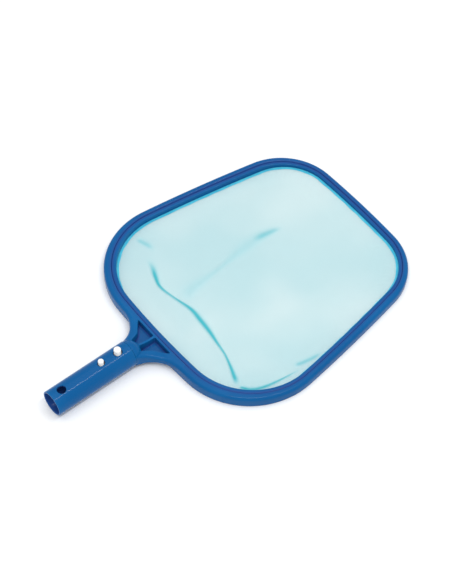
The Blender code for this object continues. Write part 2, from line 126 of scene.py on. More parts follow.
# Neck web and its pockets
NECK_FLARE = 0.0460
NECK_BOTTOM = 0.0050
NECK_FOOT_ROUND = 0.0041
NECK_TOP = AXIS_Z + 0.0090
WEB_END_X = NEAR_X + BEAD_WIDTH[0] - 0.0001
WEB_RIM_TOP = RIM_HEIGHT[0] + 0.00005
SLOPE_START_X = SHOULDER_X - 0.006
SLOPE_END_X = NEAR_X + 0.002
RIB_HALF = 0.0019
POCKET_FLOOR = 0.0085
POCKET_REACH = 0.0340
POCKET_ROOT_X = SHOULDER_X + 0.0075
POCKET_WALL_X = NEAR_X + BEAD_WIDTH[0] - 0.0042
POCKET_MOUTH = 0.0062
POCKET_ROUND = 0.0016
POCKET_WAIST_X = (POCKET_ROOT_X + POCKET_WALL_X) / 2 + 0.003
POCKET_WAIST_ROUND = 0.012
POCKET_DRAFT = 0.0005
POCKET_GROW = 0.0003
LIP_HEIGHT = 0.0003
LIP_WIDTH = 0.0006

# Net, its slack and its threads, and the tape's ribs
NET_THICK = 0.0003
NET_SAG_REACH = 0.030
THREAD_PITCH = 0.0011
THREAD_WANDER = 0.0009
TAPE_RIB = 0.0009
TAPE_STITCH = 0.0004
TAPE_EDGE_DROP = 0.00028
TAPE_FLAT = 0.012

# Where the hollow value lies, which the blue finish paints as shade: the groove's middle and width,
# the shade up and along the pocket walls, and the openings of the bore
GROOVE_MIDDLE = 0.0004
GROOVE_SPREAD = 0.0026
POCKET_SHADE = (0.0006, 0.0035)
POCKET_SHADE_HEIGHT = (0.0090, 0.0150)
BORE_SHADE = (SOCKET_BORE + 0.0001, SOCKET_RADIUS - 0.0006)

# The length that the edge value is measured over, the shortest edge counted, and the parts that
# distances are worked out in
EDGE_REACH = 0.0012
SHORTEST_EDGE = 2e-4
OUTLINE_PARTS = 40


# Shapes

def grid_mesh(name, points, around=True, across=True, caps=False, uv=None):
    """A mesh over a grid of points, rows by columns, with its faces pointing out.

    around joins the last row to the first, across the last column to the first, and caps fills the
    first and the last row. uv holds a flat place for each grid corner, with one row and one column
    more than points where those are joined.
    """
    rows, columns = points.shape[:2]
    index = np.arange(rows * columns).reshape(rows, columns)
    index = np.vstack([index, index[:1]]) if around else index
    index = np.hstack([index, index[:, :1]]) if across else index
    corners = [np.s_[:-1, :-1], np.s_[:-1, 1:], np.s_[1:, 1:], np.s_[1:, :-1]]
    faces = np.stack([index[c] for c in corners], axis=-1).reshape(-1, 4).tolist()
    if caps:
        faces += [index[0, :columns].tolist()[::-1], index[-1, :columns].tolist()]
    mesh = bpy.data.meshes.new(name)
    mesh.from_pydata(points.reshape(-1, 3), [], faces)
    if uv is not None:
        layer = mesh.uv_layers.new(name="flat")
        places = np.stack([uv[c] for c in corners], axis=-2)
        layer.data.foreach_set("uv", places.astype(np.float32).ravel())
    return mesh


def face_out(mesh):
    """Turns a closed mesh right side out: its volume, summed over its faces, is positive."""
    work = bmesh.new()
    work.from_mesh(mesh)
    if work.calc_volume(signed=True) < 0:
        bmesh.ops.reverse_faces(work, faces=work.faces)
    work.to_mesh(mesh)
    work.free()


def mark_edges(mesh):
    """Stores an edge value from 0 to 1 at each point: the mean over its edges of the turn of the
    normal along the edge, divided by the edge's length, times EDGE_REACH."""
    co = places(mesh)
    normals = np.empty(co.size, np.float32)
    mesh.vertex_normals.foreach_get("vector", normals)
    ends = np.empty(len(mesh.edges) * 2, np.int32)
    mesh.edges.foreach_get("vertices", ends)
    normals, ends = normals.reshape(-1, 3), ends.reshape(-1, 2)
    run = co[ends[:, 1]] - co[ends[:, 0]]
    bend = ((normals[ends[:, 1]] - normals[ends[:, 0]]) * run).sum(1)
    bend /= np.maximum((run ** 2).sum(1), SHORTEST_EDGE ** 2)
    total = np.zeros(len(co))
    count = np.zeros(len(co))
    for side in (0, 1):
        np.add.at(total, ends[:, side], bend)
        np.add.at(count, ends[:, side], 1.0)
    edge = np.clip(total / np.maximum(count, 1) * EDGE_REACH, 0, 1)
    layer = mesh.attributes.new("edge", "FLOAT", "POINT")
    layer.data.foreach_set("value", edge.astype(np.float32))


def places(mesh):
    """The mesh's points, one row each."""
    co = np.empty(len(mesh.vertices) * 3, np.float32)
    mesh.vertices.foreach_get("co", co)
    return co.reshape(-1, 3)


def mark_painted_shade(mesh, depth):
    """Stores how deep each point lies in a recess, from 0 to 1, as the hollow value: the depth of the
    finish's painted shade.
    """
    layer = mesh.attributes.new("hollow", "FLOAT", "POINT")
    layer.data.foreach_set("value", np.clip(depth, 0, 1).astype(np.float32))


def piece(name, mesh, body, look, stands_for, angle=40.0, hollow=None):
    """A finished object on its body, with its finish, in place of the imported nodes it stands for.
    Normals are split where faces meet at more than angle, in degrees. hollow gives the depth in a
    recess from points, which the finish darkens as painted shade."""
    face_out(mesh)
    mesh.shade_smooth()
    mesh.set_sharp_from_angle(angle=math.radians(angle))
    mark_edges(mesh)
    if hollow:
        mark_painted_shade(mesh, hollow(places(mesh)))
    mesh.materials.append(look)
    made = bpy.data.objects.new(name, mesh)
    bpy.context.scene.collection.objects.link(made)
    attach(made, body)
    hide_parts(*stands_for)
    return made


def cut(mesh, cutters):
    """The mesh less each closed cutter mesh."""
    host = bpy.data.objects.new(mesh.name, mesh)
    bpy.context.scene.collection.objects.link(host)
    tools = []
    for cutter in cutters:
        face_out(cutter)
        tool = bpy.data.objects.new(cutter.name, cutter)
        bpy.context.scene.collection.objects.link(tool)
        modifier = host.modifiers.new(cutter.name, "BOOLEAN")
        modifier.operation = "DIFFERENCE"
        modifier.solver = "EXACT"
        modifier.object = tool
        tools.append(tool)
    bpy.context.view_layer.update()
    graph = bpy.context.evaluated_depsgraph_get()
    made = bpy.data.meshes.new_from_object(host.evaluated_get(graph))
    for obj in [host, *tools]:
        bpy.data.objects.remove(obj)
    return made


def prism(name, outline, bottom, top):
    """A closed upright prism on an outline of (x, y) points."""
    low = np.column_stack([outline, np.full(len(outline), bottom)])
    high = np.column_stack([outline, np.full(len(outline), top)])
    return grid_mesh(name, np.stack([low, high]), around=False, caps=True)


def ease(value, start, end):
    """0 before start, 1 after end, and the smooth cubic 3t2 - 2t3 between."""
    t = np.clip((value - start) / (end - start), 0, 1)
    return t * t * (3 - 2 * t)


def round_over(distance, radius):
    """How far a rounded edge has dropped at a distance inside it: a quarter circle of the radius."""
    left = np.clip(radius - distance, 0, radius)
    return radius - np.sqrt(radius ** 2 - left ** 2)


# Outline of the rim

def outline_arcs():
    """Angles, radii and centres of the tangent arcs from the far edge's middle to the near edge's.

    The far, side and near arcs take the radii that make the chain HEAD_LENGTH long and HEAD_WIDTH
    wide, from three linear equations in their chords.
    """
    side = math.pi / 2 - SIDE_TAPER
    turns = np.array([0.0, BOW_FAR, side - BOW_SIDE, side + BOW_SIDE, math.pi - BOW_NEAR, math.pi])
    slopes = np.array([
        [math.tan(BOW_FAR / 2), math.sin(side), math.tan(BOW_NEAR / 2)],
        [1.0, math.cos(side), 0.0],
        [1.0, math.cos(side), -1.0],
    ])
    far_rise = math.sin(turns[2]) - math.sin(turns[1])
    near_rise = math.sin(turns[4]) - math.sin(turns[3])
    far_run = math.cos(turns[1]) - math.cos(turns[2])
    near_run = math.cos(turns[3]) - math.cos(turns[4])
    spans = np.array([
        HEAD_LENGTH - CORNER_FAR * far_run - CORNER_NEAR * near_run,
        HEAD_WIDTH / 2 - CORNER_FAR * far_rise - CORNER_NEAR * (1 - math.sin(turns[3])),
        -CORNER_FAR * far_rise - CORNER_NEAR * near_rise,
    ])
    far_chord, side_chord, near_chord = np.linalg.solve(slopes, spans)
    radii = np.array([
        far_chord / math.sin(BOW_FAR),
        CORNER_FAR,
        side_chord / 2 / math.sin(BOW_SIDE),
        CORNER_NEAR,
        near_chord / math.sin(BOW_NEAR),
    ])
    place = np.array([FAR_X, 0.0])
    centres = []
    for radius, start, end in zip(radii, turns, turns[1:]):
        centres.append(place - radius * np.array([math.cos(start), math.sin(start)]))
        place = centres[-1] + radius * np.array([math.cos(end), math.sin(end)])
    return turns, radii, np.array(centres)


ARC_TURNS, ARC_RADII, ARC_CENTRES = outline_arcs()
ARC_ENDS = np.concatenate([[0.0], np.cumsum(ARC_RADII * np.diff(ARC_TURNS))])
RIM_LENGTH = 2 * ARC_ENDS[-1]


def outline_at(share):
    """Points of the rim's outer edge and the angles of its normals, at shares of the way round from
    the far edge's middle, anticlockwise. The second half mirrors the first."""
    way = np.mod(share, 1.0) * RIM_LENGTH
    mirrored = way > RIM_LENGTH / 2
    way = np.where(mirrored, RIM_LENGTH - way, way)
    arc = np.clip(np.searchsorted(ARC_ENDS, way, side="right") - 1, 0, len(ARC_RADII) - 1)
    turn = ARC_TURNS[arc] + (way - ARC_ENDS[arc]) / ARC_RADII[arc]
    normal = np.stack([np.cos(turn), np.sin(turn)], axis=-1)
    point = ARC_CENTRES[arc] + ARC_RADII[arc][:, None] * normal
    side = np.where(mirrored, -1.0, 1.0)
    return point * np.stack([np.ones_like(side), side], axis=-1), turn * side


def along_rim(pair, turn):
    """A size given at the near and the far edge, eased between them by the cosine of the turn."""
    near, far = pair
    return near * (1 - np.cos(turn)) / 2 + far * (1 + np.cos(turn)) / 2


def round_section(corners, steps):
    """Points of a closed section whose corners are near right angles.

    corners holds (inset, height, radius) with each value an array along the rim. A corner becomes
    the quarter circle that leaves the side before it and meets the side after it.
    """
    spots = [np.stack(np.broadcast_arrays(a, b), axis=-1).astype(float) for a, b, _ in corners]
    rows = []
    for k, (_, _, radius) in enumerate(corners):
        radius = np.asarray(radius, float)[..., None]
        before = spots[k - 1] - spots[k]
        after = spots[(k + 1) % len(spots)] - spots[k]
        before /= np.linalg.norm(before, axis=-1, keepdims=True)
        after /= np.linalg.norm(after, axis=-1, keepdims=True)
        for phi in np.linspace(0, math.pi / 2, steps):
            reach = before * (1 - math.sin(phi)) + after * (1 - math.cos(phi))
            rows.append(spots[k] + radius * reach)
    return np.stack(rows, axis=-2)


def sweep(name, stations, section, across_uv=None):
    """Carries section(share, turn), points as (inset, height), round the rim's outline."""
    share = np.arange(stations) / stations
    point, turn = outline_at(share)
    shape = section(share, turn)
    normal = np.stack([np.cos(turn), np.sin(turn)], axis=-1)[:, None, :]
    flat = point[:, None, :] - normal * shape[..., :1]
    uv = None
    if across_uv is not None:
        across = np.concatenate([across_uv, across_uv[:1]])
        along = np.arange(stations + 1) / stations * RIM_LENGTH
        uv = np.stack(np.meshgrid(along, across, indexing="ij"), axis=-1)
    return grid_mesh(name, np.concatenate([flat, shape[..., 1:]], axis=-1), uv=uv)


# Rim moulding and clamping ring

def rim_section(share, turn):
    """Bead with a broad rounded top, hollow underneath, and the ledge inside it."""
    width = along_rim(RIM_WIDTH, turn)
    height = along_rim(RIM_HEIGHT, turn)
    bead = along_rim(BEAD_WIDTH, turn)
    roof = height - RIM_ROOF
    return round_section([
        (0 * width, 0.0, FOOT_ROUND),
        (0 * width, height, np.minimum(BEAD_ROUND, BEAD_ROUND_SHARE * bead)),
        (bead, height, BEAD_INNER_ROUND),
        (bead, LEDGE_TOP, LEDGE_ROUND),
        (width, LEDGE_TOP, SMALL_ROUND),
        (width, 0.0, CRISP_ROUND),
        (bead - RIM_WALL, 0.0, CRISP_ROUND),
        (bead - RIM_WALL, roof, SMALL_ROUND),
        (RIM_WALL + 0 * width, roof, SMALL_ROUND),
        (RIM_WALL + 0 * width, 0.0, CRISP_ROUND),
    ], 8)


def ring_section(share, turn):
    """Bar set down below the bead by RING_DROP. Its top slopes down by GROOVE_DEPTH over the outer
    GROOVE_WIDTH, which leaves a shallow groove beside the bead."""
    inner = along_rim(RIM_WIDTH, turn)
    outer = along_rim(BEAD_WIDTH, turn) + GAP
    top = along_rim(RIM_HEIGHT, turn) - RING_DROP
    slope = np.minimum(GROOVE_WIDTH, GROOVE_WIDTH_SHARE * (inner - outer))
    return round_section([
        (outer, RING_LOW.z, CRISP_ROUND),
        (outer, top - GROOVE_DEPTH, CRISP_ROUND),
        (outer + slope, top, RING_OUTER_ROUND),
        (inner, top, RING_INNER_ROUND),
        (inner, RING_LOW.z, CRISP_ROUND),
    ], 7)


def rim_painted_shade(points):
    """Painted shade along the groove between the bead and the ring: 1 at the groove, falling off on
    both sides as a bell.
    """
    outline, turn = outline_at(np.linspace(0, 1, 480, endpoint=False))
    bead = along_rim(BEAD_WIDTH, turn)
    normal = np.stack([np.cos(turn), np.sin(turn)], axis=-1)
    groove = outline - normal * (bead + GROOVE_MIDDLE)[:, None]
    away = distance_in_parts(groove, points[:, 0], points[:, 1])
    return np.exp(-(away / GROOVE_SPREAD) ** 2)


def web_painted_shade(points):
    """Painted shade in the pockets: 1 at the foot of the pockets' walls, less out on their
    floors and up the walls, and nowhere less than 0.8 of the groove's painted shade."""
    depth = np.zeros(len(points))
    for sign in (1, -1):
        gap = distance_to(pocket_outline(sign), points[:, 0], points[:, 1])
        near_wall = 1 - 0.75 * ease(-gap, *POCKET_SHADE)
        depth = np.maximum(depth, np.where(gap < 0.0001, near_wall, 0))
    foot, top = POCKET_SHADE_HEIGHT
    return np.maximum(depth * ease(-points[:, 2], -top, -foot), 0.8 * rim_painted_shade(points))


def bore_painted_shade(points):
    """Painted shade: 1 on the walls of the bore and of the openings, from the depth below the outer
    surface.
    """
    radius = np.hypot(points[:, 1], points[:, 2] - AXIS_Z)
    return 1 - ease(radius, *BORE_SHADE)


def pocket_outline(sign, grow=0.0):
    """Three-cornered recess beside the rib, on the side that sign gives: five corners, each rounded
    by an arc of its own. grow moves its sides outwards."""
    corners = np.array([
        (POCKET_ROOT_X - grow, RIB_HALF - grow),
        (POCKET_WALL_X + grow, RIB_HALF - grow),
        (POCKET_WALL_X + grow, POCKET_REACH + grow),
        (POCKET_WAIST_X - grow, POCKET_REACH / 2 + grow),
        (POCKET_ROOT_X - grow, RIB_HALF + POCKET_MOUTH + grow),
    ])
    radii = (POCKET_ROUND, POCKET_ROUND, POCKET_ROUND / 2, POCKET_WAIST_ROUND, POCKET_ROUND)
    points = []
    for k, radius in enumerate(radii):
        before = corners[k - 1] - corners[k]
        after = corners[(k + 1) % len(corners)] - corners[k]
        before /= np.linalg.norm(before)
        after /= np.linalg.norm(after)
        half = math.acos(before @ after) / 2
        inward = (before + after) / np.linalg.norm(before + after)
        centre = corners[k] + inward * radius / math.sin(half)
        start = corners[k] + before * radius / math.tan(half) - centre
        end = corners[k] + after * radius / math.tan(half) - centre
        sweep_angle = math.pi - 2 * half
        for t in np.linspace(0, 1, 9):
            mix = math.sin(sweep_angle * (1 - t)) * start + math.sin(sweep_angle * t) * end
            points.append(centre + mix / math.sin(sweep_angle))
    return np.array(points) * [1, sign]


def distance_to(outline, x, y, closed=True):
    """Distance from each point to a chain of segments: the least over them of the length to the
    nearest place on the segment. On a closed outline it is negative inside. Also gives how far
    along the chain that place is, in metres, and on which side the point lies."""
    a = outline if closed else outline[:-1]
    b = np.roll(outline, -1, axis=0) if closed else outline[1:]
    run = b - a
    length = np.hypot(*run.T)
    gap_x, gap_y = x[..., None] - a[:, 0], y[..., None] - a[:, 1]
    t = np.clip((gap_x * run[:, 0] + gap_y * run[:, 1]) / length ** 2, 0, 1)
    off_x, off_y = gap_x - t * run[:, 0], gap_y - t * run[:, 1]
    away = np.hypot(off_x, off_y)
    nearest = away.argmin(axis=-1)[..., None]
    found = np.take_along_axis(away, nearest, -1)[..., 0]
    if closed:
        over = (a[:, 1] > y[..., None]) != (b[:, 1] > y[..., None])
        rise = np.where(run[:, 1] == 0, 1.0, run[:, 1])
        crossing = a[:, 0] + gap_y * run[:, 0] / rise
        inside = (over & (x[..., None] < crossing)).sum(-1) % 2 == 1
        return np.where(inside, -found, found)
    starts = np.concatenate([[0.0], np.cumsum(length)[:-1]])
    way = np.take_along_axis(starts + t * length, nearest, -1)[..., 0]
    side = np.take_along_axis(run[:, 0] * gap_y - run[:, 1] * gap_x, nearest, -1)[..., 0]
    return found, way, np.sign(side)


def distance_in_parts(outline, x, y):
    """distance_to for many points, a part of them at a time to save memory."""
    parts = zip(np.array_split(x, OUTLINE_PARTS), np.array_split(y, OUTLINE_PARTS))
    return np.concatenate([distance_to(outline, part_x, part_y) for part_x, part_y in parts])


def flare_circle():
    """Centre of the neck's flare, a circle of radius NECK_FLARE that touches the spigot's side line
    and the rim's near edge from outside, and the angle from -y to where it touches the rim."""
    near = ARC_RADII[-1]
    centre_y = SPIGOT_RADIUS + NECK_FLARE
    centre_x = NEAR_X + near - math.sqrt((near + NECK_FLARE) ** 2 - centre_y ** 2)
    return centre_x, centre_y, math.pi / 2 - math.asin(centre_y / (near + NECK_FLARE))


def inside_flare(x, y):
    """Distance from the web's flared side edge, towards its middle."""
    flare_x, flare_y, _ = flare_circle()
    return np.hypot(x - flare_x, np.abs(y) - flare_y) - NECK_FLARE


def web_height(x, y):
    """Height of the web's upper side: it slopes from the shoulder to the rim's height, its edges
    drop as quarter circles, and inside each pocket it falls to the floor through a thin raised lip."""
    top = NECK_TOP + (WEB_RIM_TOP - NECK_TOP) * ease(x, SLOPE_START_X, SLOPE_END_X)
    from_edge = inside_flare(x, y)
    bow = y ** 2 / (2 * ARC_RADII[-1])
    from_groove = NEAR_X + bow + BEAD_WIDTH[0] - x
    top = top - round_over(from_edge, BEAD_ROUND) - round_over(from_groove, BEAD_INNER_ROUND)
    for sign in (1, -1):
        gap = distance_to(pocket_outline(sign), x, y)
        lip = np.exp(-((gap - 2 * LIP_WIDTH) / LIP_WIDTH) ** 2)
        top = top + LIP_HEIGHT * lip * ease(gap, 0, LIP_WIDTH)
        inside = 1 - ease(gap, -POCKET_DRAFT, POCKET_DRAFT)
        top = top + (POCKET_FLOOR - top) * inside
    return top


def neck_web():
    """Web from the shoulder to the groove, as rows of closed loops.

    Each row is a straight line from the centre line to the flared edge: row angle a puts its end at
    the flare's centre plus NECK_FLARE times (sin a, -cos a), and the last rows step on into the
    bead. A loop runs over the upper side, down the edge and back below, where its foot rises to the
    edge as a quarter circle of NECK_FOOT_ROUND.
    """
    flare_x, flare_y, last = flare_circle()
    first = math.asin((SHOULDER_X - flare_x) / NECK_FLARE)
    angle = np.linspace(first, last, 130)
    touch_x, touch_y = flare_x + NECK_FLARE * math.sin(last), flare_y - NECK_FLARE * math.cos(last)
    step_on = np.linspace(touch_x, WEB_END_X, 40)[1:]
    end_x = np.concatenate([flare_x + NECK_FLARE * np.sin(angle), step_on])
    end_y = np.concatenate([flare_y - NECK_FLARE * np.cos(angle), np.full(len(step_on), touch_y)])
    across = np.linspace(0, 1, 90) ** 1.1
    x = np.repeat(end_x[:, None], len(across), axis=1)
    y = end_y[:, None] * across
    upper = np.stack([x, y, web_height(x, y)], axis=-1)
    edge = upper[:, -1]
    foot = NECK_BOTTOM + NECK_FOOT_ROUND
    wall = edge[:, None, :] * [1, 1, 0] + np.zeros((1, 5, 3))
    wall[..., 2] = edge[:, 2:] + (foot - edge[:, 2:]) * np.linspace(0, 1, 7)[1:-1]
    share = 1 - np.linspace(0, 1, 28) ** 2
    low_x = np.repeat(end_x[:, None], len(share), axis=1)
    low_y = end_y[:, None] * share
    low_z = NECK_BOTTOM + round_over(inside_flare(low_x, low_y), NECK_FOOT_ROUND)
    lower = np.stack([low_x, low_y, low_z], axis=-1)
    half = np.concatenate([upper, wall, lower], axis=1)
    other = (half * [1, -1, 1])[:, -2:0:-1]
    return grid_mesh("neck_web", np.concatenate([half, other], axis=1), around=False, caps=True)


# Turned pieces

def turned(name, profile, sides, axis="X", centre=(0.0, 0.0)):
    """A profile of (place, radius) points carried round an axis, closed on itself."""
    place, radius = np.array(profile).T
    angle = np.linspace(0, 2 * math.pi, sides, endpoint=False)
    first = radius * np.cos(angle)[:, None]
    second = radius * np.sin(angle)[:, None]
    along = np.broadcast_to(place, first.shape)
    if axis == "X":
        points = np.stack([along, centre[0] + first, centre[1] + second], axis=-1)
    else:
        points = np.stack([centre[0] + first, centre[1] + second, along], axis=-1)
    return grid_mesh(name, points)


def arc(centre, radius, start, end, steps):
    """Points of an arc in (place, radius), angles in degrees."""
    angle = np.radians(np.linspace(start, end, steps))
    return [(centre[0] + radius * math.cos(a), centre[1] + radius * math.sin(a)) for a in angle]


def slot_outline(pin, radius):
    """An oblong round the pin's place on the top line, with room for its swing."""
    half = np.radians(np.linspace(-90, 90, 17))
    width = radius + SLOT_SIDE
    right = np.column_stack([pin + SLOT_FRONT + width * np.cos(half), width * np.sin(half)])
    left = np.column_stack([pin - SLOT_BACK - width * np.cos(half), -width * np.sin(half)])
    return np.vstack([right, left])


def pin_sizes(node):
    """A pin's middle, its radius, and its lowest and highest places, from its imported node."""
    low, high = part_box(node)
    return (low.x + high.x) / 2, (high.y - low.y) / 2, low.z, high.z


def slot_cutters(tag):
    """Upright cutters for the two pins' slots, from below each pin to above the tube."""
    made = []
    for node in PINS:
        middle, radius, low, _ = pin_sizes(node)
        outline = slot_outline(middle, radius)
        made.append(prism(f"{tag}_{node}", outline, low - CUTTER_START, CUTTER_TOP))
    return made


def socket_tube():
    """Plain round tube: its wall's four corners are quarter circles, and the mouth's are wider."""
    lip, end = SOCKET_LIP, SOCKET_END_ROUND
    inner, outer = SOCKET_BORE, SOCKET_RADIUS
    length = np.linspace(MOUTH_X + 0.004, SOCKET_END_X - 0.004, 24)
    profile = (
        arc((MOUTH_X + lip, inner + lip), lip, 270, 180, 5)
        + arc((MOUTH_X + lip, outer - lip), lip, 180, 90, 5)
        + [(x, outer) for x in length]
        + arc((SOCKET_END_X - end, outer - end), end, 90, 0, 5)
        + arc((SOCKET_END_X - end, inner + end), end, 0, -90, 5)
        + [(x, inner) for x in length[::-1]]
    )
    tube = turned("socket_tube", profile, 144, centre=(0.0, AXIS_Z))
    angle = np.linspace(0, 2 * math.pi, 64, endpoint=False)
    circle = np.column_stack([
        POLE_HOLE_X + POLE_HOLE_RADIUS * np.cos(angle),
        POLE_HOLE_RADIUS * np.sin(angle),
    ])
    hole = prism("pole_hole", circle, AXIS_Z, CUTTER_TOP)
    return cut(tube, [hole, *slot_cutters("tube")])


def spigot_core():
    """Hollow spigot, blind at the neck, and the round shoulder: a quarter of an ellipse."""
    nose_angle = np.radians(np.linspace(4, 86, 22))
    nose = np.column_stack([
        SHOULDER_X + SHOULDER_NOSE * np.sin(nose_angle),
        SHOULDER_RADIUS * np.cos(nose_angle),
    ])
    blind = SHOULDER_X - BLIND_WALL
    soft = SPIGOT_ROUND
    length = np.linspace(SPIGOT_X + 0.003, SHOULDER_X - 0.001, 20)
    profile = (
        [(blind, TIP_RADIUS), (blind, SPIGOT_BORE)]
        + [(x, SPIGOT_BORE) for x in length[:-1][::-1]]
        + arc((SPIGOT_X + soft, SPIGOT_BORE + soft), soft, 270, 180, 4)
        + arc((SPIGOT_X + soft, SPIGOT_RADIUS - soft), soft, 180, 90, 4)
        + [(x, SPIGOT_RADIUS) for x in length]
        + [(SHOULDER_X, SPIGOT_RADIUS)]
        + arc((SHOULDER_X + soft, SHOULDER_RADIUS - soft), soft, 180, 100, 5)
        + [tuple(p) for p in nose]
        + [(SHOULDER_X + SHOULDER_NOSE, TIP_RADIUS)]
    )
    core = turned("spigot_core", profile, 128, centre=(0.0, AXIS_Z))
    return cut(core, slot_cutters("spigot"))


def pin_mesh(node):
    """Round pin with a domed top: an ellipse's quarter above a straight shank with a soft foot."""
    middle, radius, low, high = pin_sizes(node)
    crown = PIN_CROWN * radius
    soft = PIN_FOOT_ROUND
    dome = [
        (high - crown + crown * math.sin(a), radius * math.cos(a))
        for a in np.linspace(0, math.radians(88), 16)
    ]
    shank = [(z, radius) for z in np.linspace(low + 0.0008, high - crown - 0.0004, 14)]
    foot = arc((low + soft, radius - soft), soft, 180, 90, 5)
    profile = [(low, PIN_TIP_RADIUS)] + foot + shank + dome + [(high, PIN_TIP_RADIUS)]
    return turned(node + "_turned", profile, 72, axis="Z", centre=(middle, 0.0))


# Net and its binding

# A fold's course over the net, its bell's width and height, how gathered it is, and the lengths
# over which it starts and ends
Fold = namedtuple("Fold", "course width height tint start end")

FOLDS = (
    Fold(((-0.022, 0.117), (-0.024, 0.100), (-0.031, 0.083), (-0.036, 0.066), (-0.033, 0.043),
          (-0.027, 0.013), (-0.028, -0.009), (-0.030, -0.031), (-0.033, -0.050), (-0.036, -0.069),
          (-0.042, -0.088), (-0.048, -0.103), (-0.055, -0.120)), 0.0032, 0.0020, 1.0, 0.036, 0.016),
    Fold(((-0.055, -0.120), (-0.046, -0.133), (-0.031, -0.141), (-0.005, -0.146), (0.030, -0.150)),
         0.0026, 0.0014, 0.9, 0.006, 0.030),
    Fold(((-0.022, 0.021), (-0.010, 0.034), (0.010, 0.037), (0.045, 0.040), (0.079, 0.044),
          (0.117, 0.045), (0.153, 0.040)), 0.0075, 0.0014, 0.22, 0.020, 0.050),
    Fold(((0.104, 0.049), (0.121, 0.046), (0.140, 0.043), (0.156, 0.040)),
         0.0045, 0.0010, 0.5, 0.020, 0.020),
    Fold(((0.020, -0.139), (0.034, -0.144), (0.052, -0.147), (0.066, -0.146)),
         0.0028, 0.0010, 0.6, 0.010, 0.016),
    Fold(((-0.014, 0.150), (-0.011, 0.140), (-0.007, 0.129), (-0.006, 0.116)),
         0.0034, 0.0010, 0.5, 0.010, 0.016),
)


def smooth_course(points, steps=14):
    """Catmull-Rom curve through the points: each span is the cubic set by its four neighbours."""
    p = np.array(points)
    p = np.vstack([2 * p[0] - p[1], p, 2 * p[-1] - p[-2]])
    t = np.linspace(0, 1, steps, endpoint=False)[None, :, None]
    a, b, c, d = (p[k:len(p) - 3 + k, None] for k in range(4))
    curve = b + 0.5 * t * (c - a + t * (2 * a - 5 * b + 4 * c - d + t * (3 * (b - c) + d - a)))
    return np.vstack([curve.reshape(-1, 2), p[-2]])


def net_relief(x, y, inset, turn):
    """Height above the slack sheet, and how gathered the cloth is, at each place.

    Folds are bell curves across their course, steeper on the side that faces the rim. Between them
    the sheet has long low waves, and short puckers at the ring that fade inwards.
    """
    wave = np.sin(23 * x + 31 * y + 0.7) * np.sin(19 * x - 27 * y + 1.9)
    height = 0.00035 * (1 + wave) * ease(inset, 0.004, 0.05)
    pucker = np.sin(61 * turn + 3 * np.sin(7 * turn)) * np.sin(23 * turn + 1.1)
    near_ring = ease(inset, 0.0, 0.004) * (1 - ease(inset, 0.006, 0.030))
    height = height + 0.00022 * (1 + pucker) * near_ring
    gather = 0.05 * np.clip(pucker, 0, 1) * (1 - ease(inset, 0.004, 0.024))
    for fold in FOLDS:
        course = smooth_course(fold.course)
        away, way, side = distance_to(course, x, y, closed=False)
        length = np.hypot(*np.diff(course, axis=0).T).sum()
        ends = ease(way, 0, fold.start) * (1 - ease(way, length - fold.end, length))
        swell = fold.width * (0.75 + 0.35 * np.sin(way * 55 + 0.6))
        bell = np.exp(-(away / swell) ** 2 * np.where(side > 0, 0.55, 1.6))
        height = height + fold.height * bell * ends
        gather = gather + fold.tint * bell * ends
    return height, np.clip(gather, 0, 1)


def net_sheet():
    """The net on a square grid bent into a disc, a by the root of 1 - b2/2, and then drawn out to
    the rim's outline. It lies level under the ring and eases down to just above the ground."""
    side = np.linspace(-1, 1, 212)
    a, b = np.meshgrid(side, side, indexing="ij")
    disc_x, disc_y = a * np.sqrt(1 - b * b / 2), b * np.sqrt(1 - a * a / 2)
    radius, share = np.hypot(disc_x, disc_y), np.arctan2(disc_y, disc_x) / (2 * math.pi)
    share = np.mod(share.ravel(), 1.0)
    point, turn = outline_at(share)
    normal = np.stack([np.cos(turn), np.sin(turn)], axis=-1)
    hem = along_rim(BEAD_WIDTH, turn) + CLOTH_SETBACK
    brink = along_rim(RIM_WIDTH, turn)
    edge = point - normal * hem[:, None]
    middle = np.array([(NEAR_X + FAR_X) / 2, 0.0])
    flat = middle + (edge - middle) * radius.reshape(-1, 1)
    x, y = flat.T
    outline = outline_at(np.linspace(0, 1, 240, endpoint=False))[0]
    inside = -distance_in_parts(outline, x, y) - brink
    drop = (NET_HIGH.z - NET_LOW.z - 2 * NET_THICK) * ease(inside, 0.0, NET_SAG_REACH)
    relief, gather = net_relief(x, y, np.clip(inside, 0, 1), turn)
    z = NET_HIGH.z - NET_THICK - drop + relief
    count = len(side)
    points = np.stack([x, y, z], axis=-1).reshape(count, count, 3)
    uv = ((flat - [NEAR_X, -HEAD_WIDTH / 2]) / HEAD_LENGTH).reshape(count, count, 2)
    mesh = grid_mesh("net_sheet", points, around=False, across=False, uv=uv)
    layer = mesh.attributes.new("gather", "FLOAT", "POINT")
    layer.data.foreach_set("value", gather.astype(np.float32))
    return mesh, flat


def tape_section(share, turn):
    """Flat woven tape with rounded edges. Its inner edge wanders a little along the rim."""
    wander = 0.00025 * np.sin(2 * math.pi * 37 * share + 2 * np.sin(2 * math.pi * 5 * share))
    inner = along_rim(RIM_WIDTH, turn) + TAPE_SHOW + wander
    outer = along_rim(BEAD_WIDTH, turn) + CLOTH_SETBACK
    across = np.linspace(0, 1, 12)
    over = outer[:, None] + (inner - outer)[:, None] * across
    edge = TAPE_EDGE_DROP * (1 - ease(np.minimum(across, 1 - across), 0, 0.12))
    high = np.stack([over, np.broadcast_to(TAPE_HIGH.z - edge, over.shape)], axis=-1)
    low = np.stack([over, np.broadcast_to(TAPE_LOW.z + edge, over.shape)], axis=-1)
    return np.concatenate([high, low[:, ::-1]], axis=1)


# Finishes

